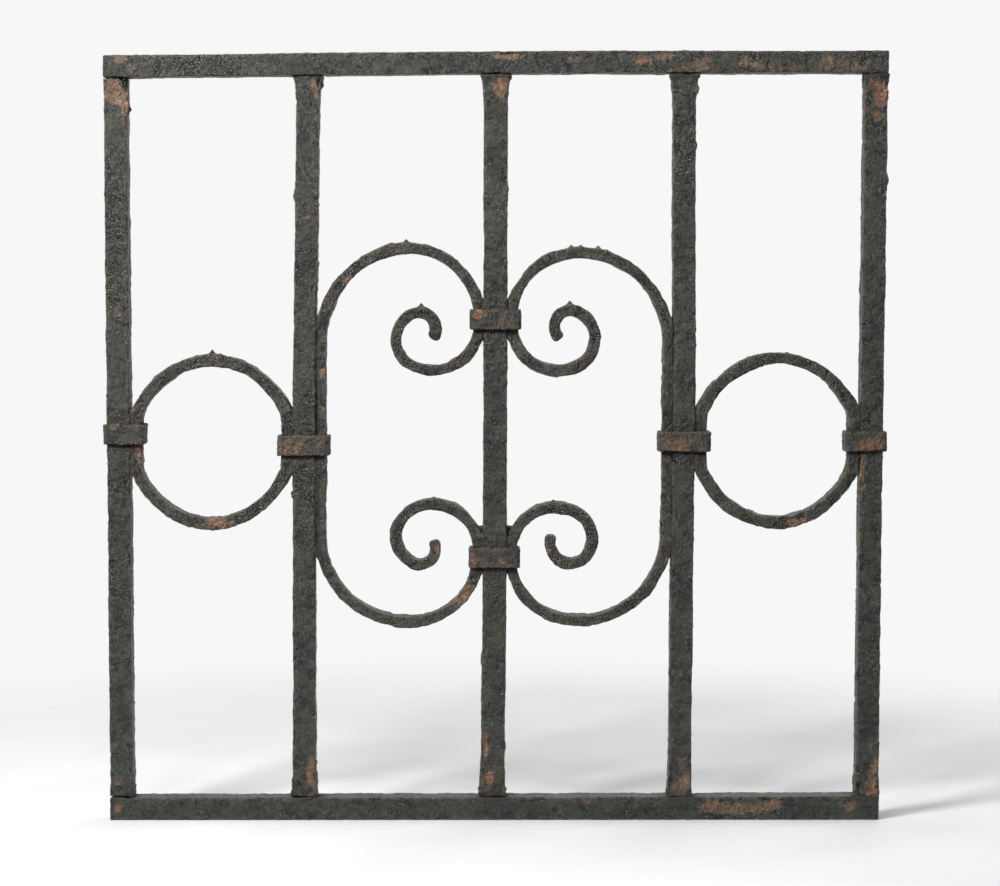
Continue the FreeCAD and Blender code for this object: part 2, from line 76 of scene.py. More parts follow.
def lattice_noise(points, feature, seed):
    """Return smooth noise between -1 and 1 whose features are about as large as feature."""
    grid = points / feature
    cell = np.floor(grid).astype(np.int64)
    blend = grid - cell
    blend = blend * blend * blend * (blend * (blend * 6 - 15) + 10)
    total = np.zeros(len(points))
    for corner in itertools.product((0, 1), repeat=3):
        at = (cell + np.array(corner)) * SCATTER
        mixed = (at[:, 0] ^ at[:, 1] ^ at[:, 2] ^ (seed + 1) * SCATTER_SEED) & LOW_BITS
        for shift, factor in STIR:
            mixed = (mixed ^ (mixed >> shift)) * factor & LOW_BITS
        mixed ^= mixed >> 16
        weight = np.prod(np.where(corner, blend, 1 - blend), axis=1)
        total += weight * (mixed / (LOW_BITS >> 1) - 1)
    return total


def layered_noise(points, feature, seed):
    """Return a noise with a second one on it that is half as large and half as strong."""
    coarse = lattice_noise(points, feature, seed)
    return (coarse + lattice_noise(points, feature / 2, seed + 31) / 2) / 1.5


def smooth_step(low, high, value):
    """Return 0 below low, 1 above high and a smooth ramp between."""
    part = np.clip((value - low) / (high - low), 0, 1)
    return part * part * (3 - 2 * part)


# ---------------- how this grille was forged

# How far each upright stands off its nominal place at each of LEAN_HEIGHTS, in millimetres.
UPRIGHT_LEAN = {
    "left_stile": (-0.1, -0.3, -0.2, -0.5, -0.3),
    "inner_left_bar": (-3.9, -3.6, -2.3, 0.5, 2.6),
    "centre_bar": (-3.4, -1.1, 0.0, 0.2, 0.6),
    "inner_right_bar": (-2.6, -1.5, 0.4, -0.4, -0.2),
    "right_stile": (-2.0, -1.4, -0.2, 0.9, 1.5),
}
LEAN_HEIGHTS = (0.0, 150 * MM, 370 * MM, 500 * MM, 620 * MM)

# Nominal sizes and places, from the CAD model.
UPRIGHTS = list(UPRIGHT_LEAN)
UPRIGHT_PLACES = [sum(corner[0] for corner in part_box(name)) / 2 for name in UPRIGHTS]
BAR_HALF = (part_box("centre_bar")[1][0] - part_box("centre_bar")[0][0]) / 2
RAIL_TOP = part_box("bottom_rail")[1][2]
RAIL_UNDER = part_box("top_rail")[0][2]
HEIGHT = cad_high.z
HALF_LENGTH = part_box("top_rail")[1][0]

# The top rail rises from left to right: places along it, and how far each stands off level.
RISE_PLACES = [-HALF_LENGTH, UPRIGHT_PLACES[1], 0.0, HALF_LENGTH / 3, HALF_LENGTH]
RISE = [-1.1 * MM, 0.7 * MM, 2.2 * MM, 2.4 * MM, 2.4 * MM]


def out_of_true(points):
    """Move nominal points to where the bent and leaning grille has them."""
    share = np.clip(points[:, 2] / HEIGHT, 0, 1)
    leans = [np.interp(points[:, 2], LEAN_HEIGHTS, UPRIGHT_LEAN[name]) for name in UPRIGHTS]
    leans = np.stack(leans, axis=1) * MM
    pitch = UPRIGHT_PLACES[1] - UPRIGHT_PLACES[0]
    bay = np.clip((points[:, 0] - UPRIGHT_PLACES[0]) / pitch, 0, len(UPRIGHTS) - 1.001)
    left = bay.astype(int)
    part = bay - left
    rows = np.arange(len(points))
    moved = points.copy()
    moved[:, 0] += leans[rows, left] * (1 - part) + leans[rows, left + 1] * part
    moved[:, 2] += np.interp(points[:, 0], RISE_PLACES, RISE) * share
    return moved


# Marks, each list in millimetres and by the CAD node that carries it.
# Patches where paint has gone or rust bleeds through: place across and up, radii, strength.
RUST_PATCHES = {
    "top_rail": [
        (120, 616, 9, 4, 0.65), (206, 613, 12, 8, 0.48), (236, 611, 16, 7, 0.38),
        (-290, 608, 12, 6, 0.45), (-175, 610, 30, 5, 0.25), (266, 612, 9, 9, 0.45),
        (166, 612, 13, 9, 0.62), (150, 606, 12, 4, 0.6), (10, 618, 10, 3, 1.0),
        (136, 619, 6, 3, 1.0), (290, 611, 12, 8, 0.45), (-300, 616, 9, 3, 0.7),
        (-268, 604, 8, 2, 0.5), (60, 617, 12, 3, 0.4),
    ],
    "bottom_rail": [
        (175, 14, 12, 5, 0.5), (222, 12, 14, 6, 0.6), (192, 9, 26, 6, 0.85), (290, 12, 10, 5, 0.7),
        (-308, 10, 4, 5, 0.7), (75, 15, 10, 4, 0.45), (-20, 14, 16, 3, 0.35),
    ],
    "right_stile": [
        (306, 570, 7, 6, 0.55), (304, 60, 6, 10, 0.4), (307, 30, 6, 16, 0.6), (309, 588, 6, 9, 1.3),
        (305, 598, 8, 5, 0.6), (297, 285, 3, 22, 0.75), (308, 44, 4, 9, 0.5), (303, 22, 7, 4, 0.5),
    ],
    "inner_right_bar": [
        (149, 12, 8, 10, 0.6), (154, 40, 8, 18, 0.4), (152, 28, 6, 6, 0.55), (157, 560, 3, 8, 0.35),
    ],
    "inner_left_bar": [
        (-144, 594, 3, 7, 0.8), (-148, 36, 6, 14, 0.75), (-160, 20, 4, 10, 0.5),
        (-152, 490, 8, 1.2, 0.55), (-150, 40, 5, 8, 0.8), (-148, 598, 4, 5, 0.6),
    ],
    "centre_bar": [
        (-7, 30, 6, 7, 0.6), (6, 597, 6, 6, 0.8), (4, 592, 6, 9, 0.85), (-8, 62, 3, 14, 0.8),
        (-4, 36, 3, 5, 0.8), (2, 118, 4, 16, 0.45),
    ],
    "left_stile": [
        (-307, 32, 7, 5, 0.55), (-297, 580, 3, 8, 0.8), (-306, 590, 8, 7, 1.1),
        (-302, 583, 4, 5, 0.6), (-305, 600, 9, 4, 0.5), (-304, 412, 5, 4, 0.45),
    ],
    "left_ring": [(-222, 243, 14, 5, 0.85), (-288, 300, 4, 9, 0.45)],
    "right_ring": [(244, 243, 11, 4, 0.85), (186, 350, 8, 6, 0.4)],
    "left_c_scroll": [
        (-117, 440, 6, 5, 0.8), (-140, 365, 4, 4, 0.9), (-139, 335, 3, 3, 0.7),
        (-27, 186, 12, 12, 0.75), (-48, 222, 6, 5, 0.6),
    ],
    "right_c_scroll": [(44, 222, 5, 4, 0.45), (30, 455, 6, 5, 0.4)],
    "left_stile_collar": [(-308, 322, 6, 3, 0.8), (-320, 316, 4, 7, 0.5)],
    "inner_left_collar": [(-166, 303, 9, 6, 0.75), (-150, 308, 20, 8, 0.35)],
    "upper_centre_collar": [(-14, 412, 5, 4, 1.0), (4, 405, 12, 3, 0.4)],
    "lower_centre_collar": [(-16, 214, 6, 8, 0.7), (5, 212, 3, 3, 1.2)],
    "inner_right_collar": [(150, 307, 18, 7, 0.65), (142, 305, 5, 4, 0.9)],
    "right_stile_collar": [(305, 307, 16, 8, 0.75), (296, 301, 5, 4, 1.0)],
}

# Flakes and scale that stand off the sides of the uprights: place across and up, reach, height.
FLAKES = {
    "left_stile": [(-296, 577, 2.2, 5.0), (-296, 588, 1.2, 3.0), (-296, 372, 1.2, 3.5)],
    "inner_left_bar": [
        (-161, 266, 1.4, 3.0), (-143, 452, 1.3, 4.0), (-162, 508, 1.2, 5.0), (-143, 596, 1.8, 4.0),
    ],
    "centre_bar": [(9, 512, 1.0, 4.0), (-9, 132, 1.2, 5.0), (9, 60, 1.1, 4.0)],
    "inner_right_bar": [(161, 548, 1.2, 3.0), (143, 120, 1.1, 4.0), (161, 592, 1.6, 4.0)],
    "right_stile": [(314, 520, 1.1, 4.0), (296, 452, 1.1, 3.0), (296, 118, 1.3, 4.0)],
}

# Drops of dried paint that stand up from rings and scrolls: place across and up, height, radius.
DRIPS = {
    "left_ring": [(-229, 377, 4.6, 1.8), (-222, 376, 1.6, 2.6), (-276, 359, 1.2, 2.0)],
    "right_ring": [(236, 376, 1.6, 1.8), (205, 371, 1.2, 2.4)],
    "left_c_scroll": [
        (-72, 466, 3.4, 1.7), (-84, 465, 1.2, 2.4), (-60, 417, 4.0, 1.9), (-50, 259, 1.5, 2.6),
    ],
    "right_c_scroll": [
        (61, 463, 3.0, 1.6), (69, 463, 2.6, 1.7), (83, 460, 3.0, 1.9), (60, 417, 4.4, 2.2),
        (47, 256, 2.2, 1.6), (118, 437, 1.2, 2.0),
    ],
}

# Notches knocked out of edges: place across, deep and up, radii across and up, depth.
NOTCHES = {
    "left_stile": [(-296, -9, 597, 3.2, 6.5, 3.4), (-296, -9, 575, 2.0, 4.0, 1.2)],
    "inner_left_bar": [(-141, -9, 598, 2.0, 3.5, 2.4), (-163, -9, 40, 2.0, 6.0, 1.0)],
    "centre_bar": [(-10, -9, 60, 2.0, 9.0, 1.2)],
    "right_stile": [(296, -9, 26, 3.0, 3.0, 2.0)],
    "inner_right_bar": [(143, -9, 30, 2.0, 5.0, 1.2)],
    "top_rail": [(12, -10, 620, 8.0, 1.5, 1.0), (136, -10, 620, 5.0, 1.5, 1.0)],
    "bottom_rail": [(250, -10, 17, 9.0, 1.5, 0.8)],
}


# ---------------- forged stock

# Half the width that a swept bar's last row keeps, and how far in from a corner its edge reaches.
LAST_ROW_HALF = 0.15 * MM
EDGE_REACH = 1.3 * MM
# Turns, in degrees, of the points that round a section's corner and a bar's end.
CORNER_TURNS = (-60, -30)
END_TURNS = (30, 60, 90)


def section_shape(half_width, half_depth, corner, spacing):
    """Return the places round a rounded rectangle, for sections of any size.

    shares are shares of the half sides between the corners' centres, and outward are unit vectors
    that the corner's radius is added along.
    """
    counts = [max(2, round(2 * (half - corner) / spacing)) for half in (half_width, half_depth)]
    shares = []
    outward = []
    for side in range(4):
        turn = side * math.pi / 2
        rotation = np.array([[math.cos(turn), -math.sin(turn)], [math.sin(turn), math.cos(turn)]])
        for share in np.linspace(-1, 1, counts[side % 2] + 1):
            shares.append(rotation @ (share, -1))
            outward.append(rotation @ (0, -1))
        for angle in np.radians(CORNER_TURNS):
            shares.append(rotation @ (1, -1))
            outward.append(rotation @ (math.cos(angle), math.sin(angle)))
    return np.array(shares), np.array(outward)


def unit(vectors):
    """Scale vectors to length one."""
    return vectors / np.maximum(np.linalg.norm(vectors, axis=-1, keepdims=True), 1e-12)


def even_rows(points, spacing, closed=False):
    """Return points spaced evenly along a line through the given ones."""
    if closed:
        points = np.vstack([points, points[:1]])
    lengths = np.concatenate([[0], np.cumsum(np.linalg.norm(np.diff(points, axis=0), axis=1))])
    count = max(3, round(lengths[-1] / spacing))
    wanted = np.linspace(0, lengths[-1], count + 1)
    if closed:
        wanted = wanted[:-1]
    return np.stack([np.interp(wanted, lengths, points[:, axis]) for axis in range(3)], axis=1)


def sweep_grid(line, deep, half_width, half_depth, corner, closed=False, end_round=1.2 * MM,
               roundness=None, spacing=GRAIN):
    """Sweep a rounded rectangle along a line; return its grid of points and their edge shares.

    deep is the direction of the section's depth; half_width, half_depth and roundness may vary
    along the line. Each open end is rounded over and closed by ever smaller rows.
    """
    count = len(line)
    half_width = np.broadcast_to(half_width, count).astype(float)
    half_depth = np.broadcast_to(half_depth, count).astype(float)
    roundness = np.zeros(count) if roundness is None else np.asarray(roundness, float)
    if closed:
        ahead = unit(np.roll(line, -1, axis=0) - np.roll(line, 1, axis=0))
    else:
        ahead = unit(np.gradient(line, axis=0))
    inset = np.zeros(count)
    shares, outward = section_shape(half_width.max(), half_depth.max(), corner, spacing)
    if not closed:
        for at_start in (True, False):
            end = 0 if at_start else -1
            sign = -1 if at_start else 1
            turns = np.radians(END_TURNS)
            insets = list(end_round * (1 - np.cos(turns)))
            steps = list(end_round * np.sin(turns))
            deepest = min(half_width[end], half_depth[end]) - LAST_ROW_HALF
            extra = np.arange(end_round + spacing, deepest, spacing)
            insets += list(extra) + [deepest]
            steps += [end_round] * (len(extra) + 1)
            rows = line[end] + sign * np.outer(steps, ahead[end])
            repeats = len(insets)
            order = slice(None, None, -1) if at_start else slice(None)

            def extend(values, new):
                new = np.asarray(new)[order]
                return np.concatenate([new, values]) if at_start else np.concatenate([values, new])

            line = extend(line, rows)
            inset = extend(inset, insets)
            half_width = extend(half_width, np.repeat(half_width[end], repeats))
            half_depth = extend(half_depth, np.repeat(half_depth[end], repeats))
            roundness = extend(roundness, np.repeat(roundness[end], repeats))
            ahead = extend(ahead, np.repeat(ahead[end][None], repeats, axis=0))
    deep = np.broadcast_to(deep, line.shape)
    across = unit(np.cross(deep, ahead))
    width = half_width - inset
    depth = half_depth - inset
    radius = np.minimum(corner, 0.9 * np.minimum(width, depth))
    places_u = shares[:, 0] * (width - radius)[:, None] + outward[:, 0] * radius[:, None]
    places_v = shares[:, 1] * (depth - radius)[:, None] + outward[:, 1] * radius[:, None]
    reach = np.hypot(places_u, places_v)
    circle = np.minimum(width, depth)[:, None] / np.maximum(reach, 1e-9)
    blend = 1 + roundness[:, None] * (circle - 1)
    places_u = places_u * blend
    places_v = places_v * blend
    grid = line[:, None] + across[:, None] * places_u[..., None]
    grid = grid + deep[:, None] * places_v[..., None]
    from_corner = (1 - abs(shares[:, 0])) * (width - radius)[:, None]
    from_corner = from_corner + (1 - abs(shares[:, 1])) * (depth - radius)[:, None]
    edge = np.exp(-from_corner / EDGE_REACH) * (1 - roundness[:, None])
    if not closed:
        at_end = np.exp(-abs(inset - end_round) / EDGE_REACH) * (inset > 0)
        edge = np.maximum(edge, at_end[:, None])
    return grid, edge


def grid_normals(grid, closed):
    """Return the outward normal at each point of a swept grid."""
    around = np.roll(grid, -1, axis=1) - np.roll(grid, 1, axis=1)
    along = np.roll(grid, -1, axis=0) - np.roll(grid, 1, axis=0)
    if not closed:
        along[0] = grid[1] - grid[0]
        along[-1] = grid[-1] - grid[-2]
    return unit(np.cross(around, along))


def patch_strength(points, node):
    """Return how strongly the listed rust patches of a node cover each point."""
    total = np.zeros(len(points))
    for across, up, wide, tall, strength in RUST_PATCHES.get(node, ()):
        away = ((points[:, 0] / MM - across) / wide) ** 2
        away += ((points[:, 2] / MM - up) / tall) ** 2
        total += strength * np.exp(-away)
    return total


# How far from a joint the painted shade reaches, and how far the rougher surface round it reaches.
JOINT_SHADE_REACH = 3.5 * MM
JOINT_REACH = 9 * MM


def joint_nearness(points, reach):
    """Return how close each point is to a joint, where old paint gathers and painted shade darkens
    the colour.
    """
    total = np.zeros(len(points))
    for low, high in JOINT_BOXES:
        outside = np.maximum(np.maximum(low - points, points - high), 0)
        total = np.maximum(total, np.exp(-np.linalg.norm(outside, axis=1) / reach))
    return total


def seam_strength(points):
    """Return how close each point of a ring or scroll is to the face of a bar beside it.

    The bars count at their nominal places, so beside a leaning bar the seam is off by the lean.
    """
    from_bars = np.min([abs(points[:, 0] - place) for place in UPRIGHT_PLACES], axis=0)
    return np.exp(-np.maximum(from_bars - BAR_HALF - SEAM_FULL, 0) / SEAM_FADE)


# The dark seam where a ring or scroll bears on a bar: how far off the bar's face it is full, over
# what length it fades, its depth in millimetres, and the strength of its painted shade.
SEAM_FULL = 0.3 * MM
SEAM_FADE = 0.6 * MM
SEAM_DEPTH = 0.6
SEAM_SHADE = 1.3
# A collar lies wholly in a joint, so its painted shade counts for less.
COLLAR_SHADE = 0.3

# Tenons peened over on the rails' outer faces, in millimetres: radii of a head's top and foot, its
# height, and the groove round it with its painted shade. Under the bottom rail there is only the
# groove.
HEAD_TOP = 4.0
HEAD_FOOT = 6.5
HEAD_RISE = 0.7
GROOVE_RADIUS = 6.9
GROOVE_HALF = 0.9
GROOVE_DEPTH = 0.7
GROOVE_SHADE_HALF = 1.1

# Sizes of the marks that the hammer, the scale, the paint and rust have left.
FACET = 26 * MM
DENT = 11 * MM
LUMP = 5.5 * MM
FOLD = 4 * MM
PIMPLE = 2.3 * MM
RUST_PIT = 3 * MM
CHIP = 6 * MM
BURR = 4.5 * MM
CRUST = 3.2 * MM
RAGGED = 2 * MM
# How far the crust at an upright's foot and under its head reaches.
FOOT_CRUST_REACH = 28 * MM
HEAD_CRUST_REACH = 16 * MM
RUST_DEPTH = 0.50
CRUST_DEPTH = 0.9

# How each kind of piece was worked, in millimetres: hammer facets, lumps of paint and scale, grain,
# chipped edges and burrs.
WORKING = {
    "rail": (0.26, 0.16, 0.10, 0.5, 0.2),
    "bar": (0.32, 0.24, 0.16, 0.9, 0.35),
    "scroll": (0.75, 0.34, 0.18, 0.8, 0.55),
    "collar": (0.26, 0.26, 0.16, 0.6, 0.2),
}


def head_distance(points):
    """Return how far each point is, sideways, from the axis of the nearest tenon."""
    low_down = points[:, 2] < HEIGHT / 2
    away = []
    for name, place in zip(UPRIGHTS, UPRIGHT_PLACES):
        lean = np.where(low_down, UPRIGHT_LEAN[name][0], UPRIGHT_LEAN[name][-1]) * MM
        away.append(np.hypot(points[:, 0] - place - lean, points[:, 1]))
    return np.min(away, axis=0)


def forge(points, normals, edge, node, kind, seed):
    """Hammer, crust, chip and notch a nominal surface; return the points that result."""
    facets, lumps, grain, chipped, burred = WORKING[kind]
    rust = patch_strength(points, node)
    joint = joint_nearness(points, JOINT_REACH)
    height = facets * layered_noise(points, FACET, seed)
    height += facets * lattice_noise(points, DENT, seed + 5)
    height += lumps * np.maximum(lattice_noise(points, LUMP, seed + 6), -0.1)
    height += lumps * (0.45 - 1.1 * abs(lattice_noise(points, FOLD, seed + 7)))
    height += grain * (1 + joint) * lattice_noise(points, PIMPLE, seed + 8)
    pits = smooth_step(0.0, 0.5, lattice_noise(points, RUST_PIT, seed + 9))
    height -= RUST_DEPTH * np.minimum(rust, 1) * pits
    chips = smooth_step(0.25, 0.65, layered_noise(points, CHIP, seed + 10))
    burrs = smooth_step(0.20, 0.70, layered_noise(points, BURR, seed + 11))
    if kind == "bar":
        crusted = np.exp(-np.maximum(points[:, 2] - RAIL_TOP, 0) / FOOT_CRUST_REACH)
        crusted += 0.6 * np.exp(-np.maximum(RAIL_UNDER - points[:, 2], 0) / HEAD_CRUST_REACH)
        crust = np.maximum(lattice_noise(points, CRUST, seed + 14), -0.3)
        height += crusted * CRUST_DEPTH * crust
        chipped = chipped * (1 + 0.8 * crusted)
        burred = burred * (1 + 2.0 * crusted)
    height += edge * (1 + 0.7 * joint) * (burred * burrs - chipped * chips)
    if kind == "scroll":
        height -= SEAM_DEPTH * seam_strength(points)
    if kind == "rail":
        away = head_distance(points) / MM
        is_top = node == "top_rail"
        dome = HEAD_RISE * smooth_step(0.5, 0.9, normals[:, 2]) * is_top
        groove = GROOVE_DEPTH * smooth_step(0.5, 0.9, normals[:, 2] * (1 if is_top else -1))
        height += dome * (1 - smooth_step(HEAD_TOP, HEAD_FOOT, away))
        height -= groove * np.exp(-((away - GROOVE_RADIUS) / GROOVE_HALF) ** 2)
    moved = points + normals * (MM * height)[:, None]
    for across, along, up, wide, tall, depth in NOTCHES.get(node, ()):
        away = ((points[:, 0] / MM - across) / wide) ** 2
        away += ((points[:, 1] / MM - along) / wide) ** 2
        away += ((points[:, 2] / MM - up) / tall) ** 2
        ragged = 1 + 0.5 * lattice_noise(points, RAGGED, seed + 12)
        moved -= normals * (depth * MM * np.exp(-away ** 2) * ragged)[:, None]
    for across, up, reach, tall in FLAKES.get(node, ()):
        away = ((points[:, 2] / MM - up) / tall) ** 2 + ((points[:, 1] / MM + 7) / 4) ** 2
        near = (abs(points[:, 0] / MM - across) < 7) * smooth_step(0.3, 0.8, abs(normals[:, 0]))
        ragged = 1 + 0.7 * lattice_noise(points, RAGGED, seed + 13)
        moved += normals * (reach * MM * np.exp(-away ** 1.5) * near * ragged)[:, None]
    for across, up, tall, wide in DRIPS.get(node, ()):
        away = ((points[:, 0] / MM - across) ** 2 + (points[:, 1] / MM + 3) ** 2) / wide ** 2
        lifted = smooth_step(0.1, 0.5, normals[:, 2]) * (abs(points[:, 2] / MM - up) < 9)
        moved[:, 2] += tall * MM * np.exp(-away ** 0.75) * lifted
    return moved


def press_on(grid, faces):
    """Close the crotch between stock and the bars beside it, as the paint and dirt have.

    faces are (place of a bar's face, +1 where the stock lies to its right and -1 to its left).
    A gap below fully_closed is shut, one above left_open stays, and the stock sinks into the bar by
    overlap. Stock that already lies deep in the bar is left alone.
    """
    fully_closed, left_open, overlap, deep = 1.0 * MM, 2.6 * MM, 0.3 * MM, 3 * MM
    pressed = grid.copy()
    for face, sign in faces:
        gap = sign * (pressed[..., 0] - face)
        held = (1 - smooth_step(fully_closed, left_open, gap)) * (gap > -deep)
        pressed[..., 0] -= sign * (gap + overlap) * held
    return pressed


def make_piece(name, grid, edge, closed, material, nodes, kind, seed):
    """Turn a swept grid into a forged mesh that stands for CAD nodes."""
    rows, columns = edge.shape
    points = out_of_true(grid.reshape(-1, 3))
    grid = points.reshape(rows, columns, 3)
    normals = grid_normals(grid, closed).reshape(-1, 3)
    moved = forge(points, normals, edge.reshape(-1), nodes[0], kind, seed)
    numbers = np.arange(rows * columns).reshape(rows, columns)
    upper = np.roll(numbers, -1, axis=0) if closed else numbers[1:]
    lower = numbers if closed else numbers[:-1]
    beside = [np.roll(row, -1, axis=1) for row in (lower, upper)]
    faces = np.stack([lower, beside[0], beside[1], upper], axis=-1).reshape(-1, 4).tolist()
    if not closed:
        faces.append(numbers[0][::-1].tolist())
        faces.append(numbers[-1].tolist())
    # Painted shade for the colour: darker near joints, along the seams by the bars and in the
    # tenons' grooves.
    joint_shade = joint_nearness(points, JOINT_SHADE_REACH)
    if kind == "scroll":
        joint_shade = np.maximum(joint_shade, SEAM_SHADE * seam_strength(points))
    if kind == "collar":
        joint_shade = COLLAR_SHADE * joint_shade
    if kind == "rail":
        from_groove = (head_distance(points) / MM - GROOVE_RADIUS) / GROOVE_SHADE_HALF
        joint_shade = np.maximum(joint_shade, np.exp(-from_groove ** 2) * (abs(normals[:, 2]) > 0.7))
    mesh = bpy.data.meshes.new(name)
    mesh.from_pydata(moved.tolist(), [], faces)
    for label, values in (
        ("edge", edge.reshape(-1)),
        ("rust", patch_strength(points, nodes[0])),
        ("joint_shade", joint_shade),
    ):
        layer = mesh.attributes.new(label, "FLOAT", "POINT")
        layer.data.foreach_set("value", values.astype(np.float32))
    mesh.shade_smooth()
    mesh.materials.append(material)
    piece = bpy.data.objects.new(name, mesh)
    bpy.context.collection.objects.link(piece)
    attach(piece, "root")
    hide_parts(*nodes)


def trace(start, heading, moves, turn):
    """Follow lines and arcs in the XZ plane; return closely spaced points.

    moves holds (None, length) for a line and (radius, degrees) for an arc; turn is +1 for arcs that
    turn to the left, seen from the front.
    """
    step = 0.25 * MM
    points = [np.array(start, float)]
    for radius, amount in moves:
        if radius is None:
            length = amount
        else:
            length = radius * math.radians(amount)
        steps = max(1, round(length / step))
        for _ in range(steps):
            half_turn = 0 if radius is None else turn * length / steps / radius / 2
            heading += half_turn
            chord = length / steps
            points.append(points[-1] + chord * np.array([math.cos(heading), math.sin(heading)]))
            heading += half_turn
    flat = np.array(points)
    return np.stack([flat[:, 0], np.zeros(len(flat)), flat[:, 1]], axis=1)


# ---------------- materials

class Recipe:
    """A node material under construction, with short ways to add and join nodes."""

    def __init__(self, name):
        self.material = bpy.data.materials.new(name)
        self.material.use_nodes = True
        self.nodes = self.material.node_tree.nodes
        self.links = self.material.node_tree.links
        self.shader = self.nodes["Principled BSDF"]
        self.place = self.node("ShaderNodeTexCoord").outputs["Object"]
        self.facing = self.node("ShaderNodeNewGeometry").outputs["Normal"]

    def node(self, kind, **settings):
        """Add a node and set its properties."""
        made = self.nodes.new(kind)
        for key, value in settings.items():
            setattr(made, key, value)
        return made

    def feed(self, socket, value):
        """Link an output, or set a plain value."""
        if isinstance(value, bpy.types.NodeSocket):
            self.links.new(value, socket)
        else:
            socket.default_value = value

    def noise(self, feature, detail, rough, shift):
        """Return noise from 0 to 1 with features of the given size."""
        made = self.node("ShaderNodeTexNoise", noise_dimensions="4D")
        self.links.new(self.place, made.inputs["Vector"])
        made.inputs["W"].default_value = shift
        made.inputs["Scale"].default_value = 1 / feature
        made.inputs["Detail"].default_value = detail
        made.inputs["Roughness"].default_value = rough
        return made.outputs["Fac"]

    def cells(self, feature, shift):
        """Return the distance to the nearest of scattered points, for pits and blisters."""
        made = self.node("ShaderNodeTexVoronoi", voronoi_dimensions="4D")
        self.links.new(self.place, made.inputs["Vector"])
        made.inputs["W"].default_value = shift
        made.inputs["Scale"].default_value = 1 / feature
        return made.outputs["Distance"]

    def mark(self, name):
        """Return a float stored on the mesh."""
        return self.node("ShaderNodeAttribute", attribute_name=name).outputs["Fac"]

    def math(self, kind, first, second=0.0):
        """Combine two values."""
        made = self.node("ShaderNodeMath", operation=kind)
        self.feed(made.inputs[0], first)
        self.feed(made.inputs[1], second)
        return made.outputs[0]

    def total(self, *terms):
        """Add up values, each given with its weight."""
        added = None
        for value, weight in terms:
            term = self.math("MULTIPLY", value, weight)
            added = term if added is None else self.math("ADD", added, term)
        return added

    def ramp(self, value, low, high, from_value=0.0, to_value=1.0):
        """Ramp smoothly from one value to another."""
        made = self.node("ShaderNodeMapRange", interpolation_type="SMOOTHSTEP")
        self.feed(made.inputs["Value"], value)
        made.inputs["From Min"].default_value = low
        made.inputs["From Max"].default_value = high
        made.inputs["To Min"].default_value = from_value
        made.inputs["To Max"].default_value = to_value
        return made.outputs["Result"]

    def blend(self, share, first, second):
        """Mix two colours."""
        made = self.node("ShaderNodeMix", data_type="RGBA")
        self.feed(made.inputs["Factor"], share)
        for socket, value in ((made.inputs[6], first), (made.inputs[7], second)):
            self.feed(socket, value if isinstance(value, bpy.types.NodeSocket) else (*value, 1))
        return made.outputs[2]

    def bump(self, height, depth, below=None):
        """Add a bump of a real depth on top of another."""
        made = self.node("ShaderNodeBump")
        made.inputs["Strength"].default_value = 1.0
        made.inputs["Distance"].default_value = depth
        self.links.new(height, made.inputs["Height"])
        if below is not None:
            self.links.new(below, made.inputs["Normal"])
        return made.outputs["Normal"]


# Colours of the old paint, its dust, what shows where it has gone, its painted glints and its
# painted shade.
PAINT_BLACK = (0.0060, 0.0082, 0.0078)
PAINT_GREEN = (0.0290, 0.0345, 0.0270)
PAINT_BROWN = (0.0480, 0.0400, 0.0270)
PAINT_DUST = (0.0900, 0.0940, 0.0740)
# Pale specks: grit, and painted glints on the paint's bumps.
PALE_GRIT_AND_GLINT = (0.2800, 0.2400, 0.1950)
BARE_BROWN = (0.0900, 0.0620, 0.0410)
RUST_BROWN = (0.0850, 0.0480, 0.0270)
RUST_ROSE = (0.2300, 0.1120, 0.0690)
RUST_ORANGE = (0.3600, 0.1200, 0.0550)
CREAM_SCALE = (0.4800, 0.3700, 0.2600)
TAN_SCALE = (0.1800, 0.1280, 0.0780)
# Dark brown for painted shade in joints, seams and grooves, and for darker pits.
SHADE_AND_PIT_DARK = (0.0110, 0.0095, 0.0070)


